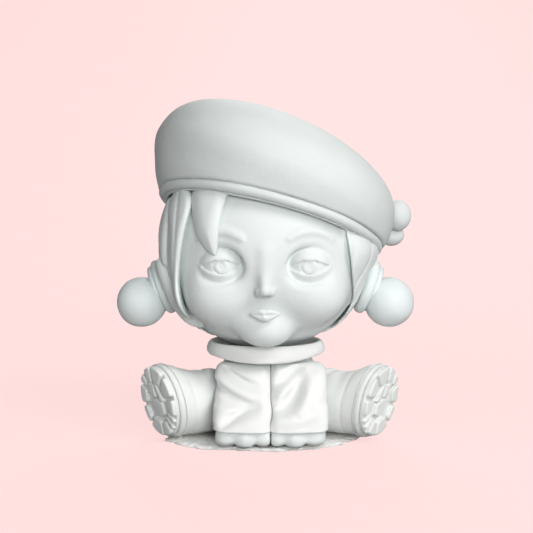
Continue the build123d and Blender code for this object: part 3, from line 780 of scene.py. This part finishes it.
def make_collar():
    at = np.array([HEAD[0], 0, 0])
    low, high = collar_low[2], collar_high[2]
    r = (collar_high[0] - collar_low[0]) / 2 - 0.9
    profile = [(9.3, low + 1.7), (9.3, low + 0.1), (20.0, low), (r - 2.6, low), (r - 1.3, low + 0.15),
               (r - 0.4, low + 0.6), (r + 0.1, low + 1.4), (r + 0.3, low + 2.6), (r + 0.3, low + 4.0),
               (r, low + 5.3), (r - 0.45, low + 6.4), (r - 1.2, high - 0.1), (r - 2.1, high),
               (r - 3.0, high - 0.7), (r - 3.6, low + 4.2), (r - 4.6, low + 2.2), (19.0, low + 1.85)]
    path = curve([(a, b, 0) for a, b in profile], 5, True)[:, :2]

    def soft(loops, t, p):
        out = outward((loops - at) * [1, 1, 0], 1)
        rim = step01(p[..., 0], 15, 22)
        wave = 0.20 * np.sin(2 * t + 0.5) + 0.12 * np.sin(5 * t + 1.1) + 0.06 * np.sin(9 * t)
        turn = (t + math.pi / 2 + math.pi) % (2 * math.pi) - math.pi
        tab = np.exp(-(turn / 0.19) ** 4) * step01(-p[..., 1], -(low + 2.6), -low)
        sides = step01(np.abs(turn), 0.25, 1.15) * step01(-np.abs(turn), -2.3, -1.7)
        rise = 1.5 * sides * rim * step01(-p[..., 1], -(low + 6.5), -low)
        return loops + out * (rim * (wave + 0.9 * tab))[..., None] + Z * rise[..., None]

    lathe("collar", path, at, X, Y, Z, "torso", "vinyl_body", CLOTH, 220, soft)


def make_skirt():
    low, high = cad_box("base_skirt")
    centre, half = (low + high) / 2 + [-3.5, -0.5, 0], (high - low) / 2 - [4.5, 0, 0]
    turns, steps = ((520, 90))
    t = np.linspace(0, 2 * math.pi, turns, endpoint=False)[:, None]
    ragged = (0.022 * np.sin(5 * t + 1) + 0.020 * np.sin(9 * t + 2.2) + 0.013 * np.sin(17 * t)
              + 0.010 * np.sin(31 * t + 0.5) + 0.008 * np.sin(53 * t + 1.5) + 0.006 * np.sin(97 * t))
    reach = 0.965 + ragged
    k = np.linspace(0.02, 1, steps)[None, :]
    top = np.stack([centre[0] + half[0] * reach * k * np.cos(t), centre[1] + half[1] * reach * k * np.sin(t),
                    0 * t * k], -1)
    rng = np.random.RandomState(8)
    grit = lump(top, 5.5, 3, 0.16) + lump(top, 2.1, 5, 0.12) + lump(top, 1.1, 6, 0.07)
    inward = (1 - k) * half[1]
    height = GROUND - 0.30 + grit - 0.75 * bell(inward / 1.3) * (1 + 0.5 * np.sin(23 * t))
    for _ in range(90):
        a, r = rng.uniform(0, 2 * math.pi), rng.uniform(0.70, 0.99)
        p = centre + half * [r * math.cos(a), r * math.sin(a), 0]
        size = rng.uniform(0.5, 1.3)
        far = np.hypot(top[..., 0] - p[0], top[..., 1] - p[1])
        height += rng.choice([-0.55, 0.45]) * size * bell(far / size)
    top[..., 2] = np.clip(height, 0.35, GROUND)
    side = top[:, -1:] * [1, 1, 0.45]
    foot = top[:, -1:] * [1, 1, 0] + (centre - top[:, -1:]) * [0.012, 0.012, 0]
    base = top[:, ::-6] * [1, 1, 0] + (centre - top[:, ::-6]) * [0.02, 0.02, 0]
    skin("base_skirt", np.concatenate([top, side, foot, base], axis=1), "torso", "vinyl_body", CAST)


# ---------------- arms

# Folds on the front of each sleeve: a line across the body, how deep it sinks, and its two widths
SLEEVE_FOLDS = {
    "right": [([(-21.0, 33.0), (-17.4, 31.0), (-13.5, 28.6), (-8.6, 26.0), (-3.8, 24.8)], 1.7, 1.5, 2.6),
              ([(-21.8, 25.6), (-19.0, 23.4), (-15.0, 20.9), (-10.2, 18.8), (-6.0, 18.0)], 2.2, 1.6, 2.6),
              ([(-19.6, 9.2), (-16.6, 11.4), (-13.2, 13.9), (-9.6, 15.6), (-4.6, 17.2)], 1.7, 2.4, 1.4),
              ([(-16.4, 33.4), (-10.4, 30.2), (-2.2, 27.2)], -0.9, 2.4, 2.2),
              ([(-20.6, 28.6), (-12.7, 24.0), (-3.6, 21.6)], -1.3, 2.6, 2.4),
              ([(-21.2, 17.6), (-15.0, 16.6), (-8.4, 16.6)], -0.9, 2.2, 2.0),
              ([(-12.2, 11.0), (-7.0, 12.4), (-1.4, 13.2)], -0.9, 2.6, 2.4)],
    "left": [([(15.2, 33.0), (11.6, 31.2), (8.0, 28.6), (4.6, 25.8), (1.4, 22.6)], 2.1, 2.2, 1.9),
             ([(13.6, 26.8), (11.6, 23.4), (9.2, 20.0), (6.0, 17.0), (2.0, 13.6)], 3.2, 2.9, 2.4),
             ([(1.8, 9.4), (6.8, 11.4), (13.8, 12.4), (19.0, 14.4)], 0.8, 1.6, 2.0),
             ([(2.6, 20.8), (5.6, 22.8), (9.0, 25.8)], -1.2, 2.0, 2.0),
             ([(18.4, 32.0), (17.0, 25.0), (13.6, 17.6), (10.4, 14.6)], -1.7, 3.2, 3.0),
             ([(5.0, 10.8), (10.8, 9.8), (17.0, 10.4)], -0.6, 1.8, 1.8)],
}
SWINGS = range(0, 31, 6)  # the shoulders' travel, in degrees, for sweeping clear of what stays still


def barrel(f, pivot, foot, wide_a, wide_b, middle, half):
    """A sleeve: a bar lying across, swept from the shoulder to the hem, with rounded ends."""
    ey, ez = foot[0] - pivot[1], foot[1] - pivot[2]
    dy, dz = f.y - pivot[1], f.z - pivot[2]
    t = np.clip((dy * ey + dz * ez) / (ey * ey + ez * ez), 0, 1.3)
    wide = wide_a + (wide_b - wide_a) * np.minimum(t, 1)
    across = np.sqrt((dy - t * ey) ** 2 + (dz - t * ez) ** 2) - wide
    return smax(across, np.abs(f.x - middle) - half - 0.3 * t, 5.5)


def make_arm(side):
    s = 1 if side == "left" else -1
    low, high = cad_box(f"{side}_sleeve")
    pivot = joint_at(f"{side}_shoulder")
    middle = 10.7 * s + SLEEVE_SHIFT
    f = Field([low[0] - 3.5, -42, HEM_Z - 3], [high[0] + 4.5, 3, 36], 0.42)
    d = barrel(f, pivot, (-25.4, HEM_Z), 11.75, 11.9, middle, 12.9)
    front = step01(pivot[1] - f.y, -1, 6)
    for points, depth, wide_a, wide_b in SLEEVE_FOLDS[side]:
        d = d + 1.2 * crease(f, points, depth, wide_a, wide_b) * front * step01(-f.z, -33.6, -31.5)
    for z0, lean in ((12.5, 0.30), (18.0, -0.25), (24.0, 0.35)):
        line = f.z - z0 - lean * (f.y + 20) - 0.9 * np.sin(f.y / 3.4)
        d = d + 0.55 * bell(line / 1.7) * step01(s * (f.x - SLEEVE_SHIFT), 18, 23)
    spin = np.sqrt((f.y - pivot[1]) ** 2 + (f.z - pivot[2]) ** 2)
    seam = SLEEVE_SHIFT + 0.55 * np.sin((spin - 12) / 2.9) * step01(spin, 11, 16)
    d = d + 1.3 * bell((f.x - seam) / 2.4) * front
    d = smax(d, s * (seam - f.x) + 0.05, 0.5)
    d = d - 0.35 * step01(-f.z, -(HEM_Z + 3.0), -HEM_Z)
    edge = HEM_Z + 0.5 * step01(np.abs(f.x - SLEEVE_SHIFT), 6, 24) + 0.02 * (f.y + 25)
    d = smax(d, edge - f.z, 0.6)
    # Room for the torso's plate at every swing, then for the leg and the collar, then the pin's bore
    dy, dz = f.y - pivot[1], f.z - pivot[2]
    room = spin - KEEL_R - 0.4
    for swing in np.radians((0, 10, 20, 30)):
        along, off = dy * math.cos(swing) + dz * math.sin(swing), dz * math.cos(swing) - dy * math.sin(swing)
        room = np.minimum(room, np.maximum(np.abs(off) - KEEL_R - 0.4, -along))
    d = np.maximum(d, -np.maximum(room, np.abs(f.x - SLEEVE_SHIFT) - 1.25))
    for swing in SWINGS:
        d = smax(d, -leg_tunnel(Turned(f, pivot, swing), side, BOOT_SHAFT + 0.75), 0.4)
    for swing in SWINGS:
        d = smax(d, Turned(f, pivot, swing).z - (collar_low[2] - 0.15), 0.4)
    d = np.maximum(d, -np.maximum(spin - 2.07, s * f.x - 13))
    sculpt(f"{side}_sleeve", f, d, f"{side}_arm", "vinyl_clothes", CLOTH)

    f = Field([low[0] - 3, -43, GROUND - 1], [high[0] + 4, -10, HEM_Z + 3], 0.34)
    d = smax(smax(np.abs(f.x - middle) - 11.7, np.abs(f.y + 26.2) - 11.9, 5.0), np.abs(f.z - 7.2) - 3.9, 1.6)
    for x, y, z, r in ((18.0, -33.2, 5.2, 4.0), (10.2, -35.3, 5.1, 4.2), (2.9, -35.2, 5.2, 3.1)):
        cx = x * s + 0.6
        finger = rod(f, [cx, y + 8, 6.6], [cx, y - 0.4, z - 0.6], r * 0.95, r)
        d = smin(d, finger, 1.6)
    d = smax(d, GROUND + 0.22 - f.z, 1.1)
    d = smax(d, f.z - HEM_Z - 1.4, 0.6)
    d = smax(d, s * (SLEEVE_SHIFT - f.x) + 0.1, 0.8)
    for other in LEG_WAYS:
        d = smax(d, -leg_tunnel(f, other, BOOT_ROOM), 0.4)
    sculpt(f"{side}_hand", f, d, f"{side}_arm", "vinyl_body", SKIN)


class Turned:
    """The same sample points, seen by a piece that has swung about a crosswise pivot."""

    def __init__(self, f, pivot, degrees):
        c, s = math.cos(math.radians(degrees)), math.sin(math.radians(degrees))
        dy, dz = f.y - pivot[1], f.z - pivot[2]
        self.x, self.y, self.z = f.x, pivot[1] + dy * c + dz * s, pivot[2] - dy * s + dz * c

    away = Field.away


# ---------------- legs and boots

def skin_piece(name, side, stations, material, slot, shape=None):
    """Closed skin through oval stations along a leg: (along, up half, side half, rise, squareness)."""
    w, at = LEG_WAYS[side], HIPS[side]
    across = np.cross(Z, w)
    p = curve(np.asarray(stations, float), 7)
    t = np.linspace(0, 2 * math.pi, 176, endpoint=False)
    loops = []
    for along, up_r, side_r, rise, square in p:
        c, s = np.cos(t), np.sin(t)
        k = (np.abs(c) ** square + np.abs(s) ** square) ** (-1 / square)
        up = rise + up_r * c * k
        walk = along + SOLE_LEAN * step01(along, 17, 33) * up
        loops.append(at + w * walk[:, None] + Z * up[:, None] + across * (side_r * s * k)[:, None])
    loops = np.array(loops).transpose(1, 0, 2)
    skin(name, shape(loops, t, p) if shape else loops, f"{side}_leg_body", slot, material)


# Lugs round the rim of a sole: where each starts and ends, in degrees from the top, and how far in it reaches
RIM_LUGS = [(-8, 36, 0.50), (36, 78, 0.54), (78, 112, 0.62), (112, 127, 0.50), (127, 142, 0.52),
            (142, 172, 0.60), (172, 222, 0.55), (222, 258, 0.72), (258, 297, 0.60), (297, 322, 0.66),
            (322, 352, 0.56)]
# Lugs in the middle: outlines measured as shares of the sole, along its two half-widths
MIDDLE_LUGS = [[(-0.42, 0.48), (-0.12, 0.46), (-0.06, 0.12), (-0.36, 0.16)],
               [(-0.06, 0.50), (0.10, 0.46), (0.36, 0.06), (0.20, 0.00)],
               [(-0.32, 0.02), (-0.06, 0.06), (0.30, -0.08), (0.34, -0.32), (0.10, -0.42), (-0.16, -0.26)]]


def make_boot(side):
    s = 1 if side == "left" else -1
    short = 0.0 if s > 0 else 1.1  # the right boot is the shorter
    low_w, high_w, rise = 34.5 - short, 37.3 - short, 2.1  # the welt's two ends, and how far the foot lifts
    skin_piece(f"{side}_leg", side,
               [(along, r, r, 0, 2) for along, r in (
                   (0.35, 0.3), (0.35, 10.6), (0.8, 12.4), (2.2, 13.1), (6.0, 13.0), (10.8, 13.0), (11.9, 12.6),
                   (11.95, 0.3))],
               SKIN, "vinyl_body")

    def creases(loops, t, p):
        walk = ((loops - HIPS[side]) @ LEG_WAYS[side])[..., None]
        out = outward(loops - (HIPS[side] + LEG_WAYS[side] * walk))
        along = p[None, :, 0]
        up = np.cos(t)[:, None]
        lean = 1.3 * np.sin(t * 2 + 0.6)[:, None]
        dent = (0.40 * bell((along - 16.5 - lean) / 1.6) * step01(up, -0.2, 0.8)
                + 0.34 * bell((along - 22.5 + lean) / 2.0) * step01(up, 0.0, 0.9)
                + 0.26 * bell((along - 28.0) / 0.8))
        wide = p[None, :, 1] > 9
        return loops - out * (dent * wide)[..., None] + out * (lump(loops, 24, 5 + s, 0.14) * wide)[..., None]

    full = BOOT_SHAFT
    skin_piece(f"{side}_boot", side,
               [(12.0, 0.3, 0.3, 0, 2), (12.0, 12.2, 12.2, 0, 2), (12.3, 13.1, 13.1, 0, 2),
                (13.6, full + 0.05, full, 0, 2), (17.0, full - 0.05, full - 0.1, 0, 2),
                (21.0, full + 0.05, full - 0.1, 0.05, 2.02),
                (25.0 - short, full + 0.4, full - 0.1, 0.4, 2.05),
                (28.0 - short, 14.35, 13.45, 1.05, 2.08), (30.5 - short, 14.95, 13.7, 1.65, 2.1),
                (32.8 - short, 15.25, 13.8, 2.0, 2.1), (34.0 - short, 15.2, 13.7, rise, 2.1),
                (34.45 - short, 14.5, 13.0, rise, 2.1), (34.45 - short, 0.3, 0.3, rise, 2)],
               BOOT, "vinyl_boots", creases)
    skin_piece(f"{side}_welt", side,
               [(low_w, 0.3, 0.3, rise, 2)] + [(along, up, across, rise, 2.1) for along, up, across in (
                   (low_w, 14.6, 13.0), (low_w + 0.2, 15.2, 13.6), (low_w + 0.8, 15.6, 13.95),
                   (low_w + 1.7, 15.65, 14.0), (low_w + 2.4, 15.35, 13.7), (high_w - 0.1, 14.8, 13.2),
                   (high_w, 14.0, 12.4))] + [(high_w, 0.3, 0.3, rise, 2)],
               BOOT, "vinyl_boots")

    w, at = LEG_WAYS[side], HIPS[side]
    across = np.cross(Z, w)
    across *= 1 if across[0] * s > 0 else -1
    low, high = cad_box(f"{side}_outsole")
    f = Field(low - 3.2, high + 3.2, 0.27)
    a, b, l = f.along(at + Z * rise, Z, across * -1, w)
    l = l - SOLE_LEAN * (a + rise)
    ra, rb = 15.0, 13.3
    size = (ra + rb) / 2
    na, nb = a / ra, b / rb
    rho = np.sqrt(na * na + nb * nb)
    turn = np.degrees(np.arctan2(nb, na)) % 360
    plate = smax((rho - 1.0) * size, np.abs(l - (high_w + 0.8)) - 0.8, 0.5)

    def raised(flat, top, k=0.9):
        return smax(flat, np.abs(l - high_w - top / 2) - top / 2, k)

    lugs = 9.0
    for start, end, inner in RIM_LUGS:
        middle, half = math.radians((start + end) / 2), math.radians((end - start) / 2)
        off = np.abs((np.radians(turn) - middle + math.pi) % (2 * math.pi) - math.pi)
        sides = (off - half) * rho * size + 0.68
        flat = smax(smax(sides, (rho - 0.985) * size, 1.4), (inner - rho) * size, 1.4)
        lugs = np.minimum(lugs, raised(flat, 3.3 if end - start > 20 else 3.0))
    for points in MIDDLE_LUGS:
        flat = outline(nb * rb, na * ra, [(x * rb, y * ra) for x, y in points], False)
        lugs = np.minimum(lugs, raised(flat - 0.35, 3.15))
    d = smin(plate, lugs, 0.35)
    d = smax(d, high_w + 0.02 - l, 0.2)
    sculpt(f"{side}_outsole", f, d, f"{side}_leg_body", "vinyl_boots", BOOT)


# ---------------- pins inside

def make_pin(name, body, at, way, sections):
    """Turned pin: sections are its corners, as (along, radius)."""
    path = [(AXIS_R, sections[0][0])] + [(r, along) for along, r in sections] + [(AXIS_R, sections[-1][0])]
    side = unit(np.cross(way, Y if abs(way[1]) < 0.9 else X))
    lathe(name, path, at, side, np.cross(way, side), way, body, "pin_stock", PIN, 48, sharp=40)


def make_pins():
    make_pin("neck_pin", "torso", np.array([HEAD[0], 0, 0]), Z,
             [(22.5, 5.6), (22.9, NECK_R), (42.5, NECK_R), (42.55, 8.6), (42.9, 9.0), (44.1, 9.0),
              (44.5, 8.5)])
    make_pin("shoulder_pin", "torso", np.array([0, PIVOT[1], PIVOT[2]]), X,
             [(-12.0, 2.5), (-11.7, 2.9), (-10.0, 2.9), (-10.0, 2.0), (10.0, 2.0), (10.0, 2.9), (11.7, 2.9),
              (12.0, 2.5)])
    for side in LEG_WAYS:
        make_pin(f"{side}_hip_pin", "torso", HIPS[side], LEG_WAYS[side],
                 [(-9.0, 2.6), (-8.7, 3.0), (9.05, 3.0), (9.1, 4.1), (9.4, 4.4), (10.7, 4.4), (11.0, 4.1)])
        make_pin(f"{side}_ear_pin", "head", HEAD, unit(np.add(*cad_box(f"{side}_ear_ball")) / 2 - HEAD),
                 [(37.95, 2.9), (38.0, 3.2), (39.3, 3.2), (39.6, 2.0), (53.6, 2.0), (54.0, 1.7)])


make_torso()
make_collar()
make_skirt()
for side_name in LEG_WAYS:
    make_arm(side_name)
    make_boot(side_name)
make_pins()

# ---------------- stage, light and camera

PAPER = (1.0, 0.735, 0.725)
PAPER_BOUNCE = (0.34, 0.33, 0.33)
PAPER_LIT, PAPER_GLOW = 0.20, 0.90
WORLD_DIM, WORLD_SEEN = 0.13, 0.96


def paper_material(name):
    """Paper that the camera sees as an even colour with soft shadows, and that bounces neutral light."""
    m, nodes, link, shader = blank(name)
    put(shader, Roughness=0.9, Specular_IOR_Level=0.0)
    tex = nodes.new("ShaderNodeTexNoise")
    put(tex, Scale=6)
    ramp = nodes.new("ShaderNodeValToRGB")
    for e, k in zip(ramp.color_ramp.elements, (0.985, 1.0)):
        e.color = (*[c * k for c in PAPER], 1)
    link(tex.outputs["Fac"], ramp.inputs["Fac"])
    path = nodes.new("ShaderNodeLightPath").outputs["Is Camera Ray"]
    tint = nodes.new("ShaderNodeMix")
    tint.data_type = "RGBA"
    link(path, tint.inputs["Factor"])
    put(tint, A=(*PAPER_BOUNCE, 1), B=(*[c * PAPER_LIT for c in PAPER], 1))
    link(tint.outputs["Result"], shader.inputs["Base Color"])
    link(ramp.outputs["Color"], shader.inputs["Emission Color"])
    glow = nodes.new("ShaderNodeMath")
    glow.operation = "MULTIPLY"
    link(path, glow.inputs[0])
    glow.inputs[1].default_value = PAPER_GLOW
    link(glow.outputs["Value"], shader.inputs["Emission Strength"])
    return m


def make_stage():
    """Floor and backdrop in one sweep of paper, in metres."""
    bend = [(0.75 + 0.55 * math.sin(a), 0.55 - 0.55 * math.cos(a)) for a in np.linspace(0, math.pi / 2, 24)]
    line = [(-2.2, 0.0), (0.0, 0.0)] + bend + [(1.30, 2.4)]
    verts = [(x, y, z) for y, z in line for x in (-2.6, 2.6)]
    faces = [(2 * i, 2 * i + 1, 2 * i + 3, 2 * i + 2) for i in range(len(line) - 1)]
    mesh = bpy.data.meshes.new("studio_sweep")
    mesh.from_pydata(verts, [], faces)
    mesh.polygons.foreach_set("use_smooth", np.ones(len(mesh.polygons), bool))
    obj = place("studio_sweep", mesh)
    mesh.materials.append(paper_material("studio_paper"))


def lamp(name, at, aim_z, size, power, colour):
    data = bpy.data.lights.new(name, "AREA")
    data.shape, data.size, data.energy, data.color = "DISK", size, power, colour
    obj = place(name, data)
    obj.location = at
    obj.visible_camera = False
    obj.rotation_euler = (Vector((0, 0, aim_z)) - Vector(at)).to_track_quat("-Z", "Y").to_euler()


make_stage()
lamp("key", (0.93, -0.97, 1.08), 0.07, 0.8, 13.0, (1.0, 0.99, 0.98))
lamp("front", (0.28, -1.25, 0.30), 0.04, 0.5, 8.8, (1.0, 1.0, 0.99))
lamp("fill", (-1.1, -0.9, 0.5), 0.07, 0.9, 1.8, (0.96, 1.0, 0.98))
lamp("back", (0.15, 1.0, 0.95), 0.07, 0.8, 7.0, (1.0, 1.0, 0.99))


def make_world():
    """Dim neutral light all round, seen by the camera as more of the paper."""
    world = bpy.data.worlds.new("studio")
    bpy.context.scene.world = world
    world.use_nodes = True
    nodes, link = world.node_tree.nodes, world.node_tree.links.new
    dim, seen = nodes["Background"], nodes.new("ShaderNodeBackground")
    put(dim, Color=(0.97, 1.0, 0.985, 1), Strength=WORLD_DIM)
    put(seen, Color=(*PAPER, 1), Strength=WORLD_SEEN)
    mix = nodes.new("ShaderNodeMixShader")
    link(nodes.new("ShaderNodeLightPath").outputs["Is Camera Ray"], mix.inputs[0])
    link(dim.outputs[0], mix.inputs[1])
    link(seen.outputs[0], mix.inputs[2])
    link(mix.outputs[0], nodes["World Output"].inputs["Surface"])


make_world()

camera = place("camera", bpy.data.cameras.new("camera"))
tilt, distance = math.radians(4), 0.5
aim = Vector((0, -0.005, 0.070))
camera.location = aim + Vector((0, -math.cos(tilt), math.sin(tilt))) * distance
camera.rotation_euler = (math.pi / 2 - tilt, 0, 0)
camera.data.lens, camera.data.sensor_width = 78.5, 36
camera.data.shift_x, camera.data.shift_y = -0.0037523, 0.0144465
camera.data.clip_start = 0.01
bpy.context.scene.camera = camera
bpy.context.scene.view_settings.view_transform = "Standard"
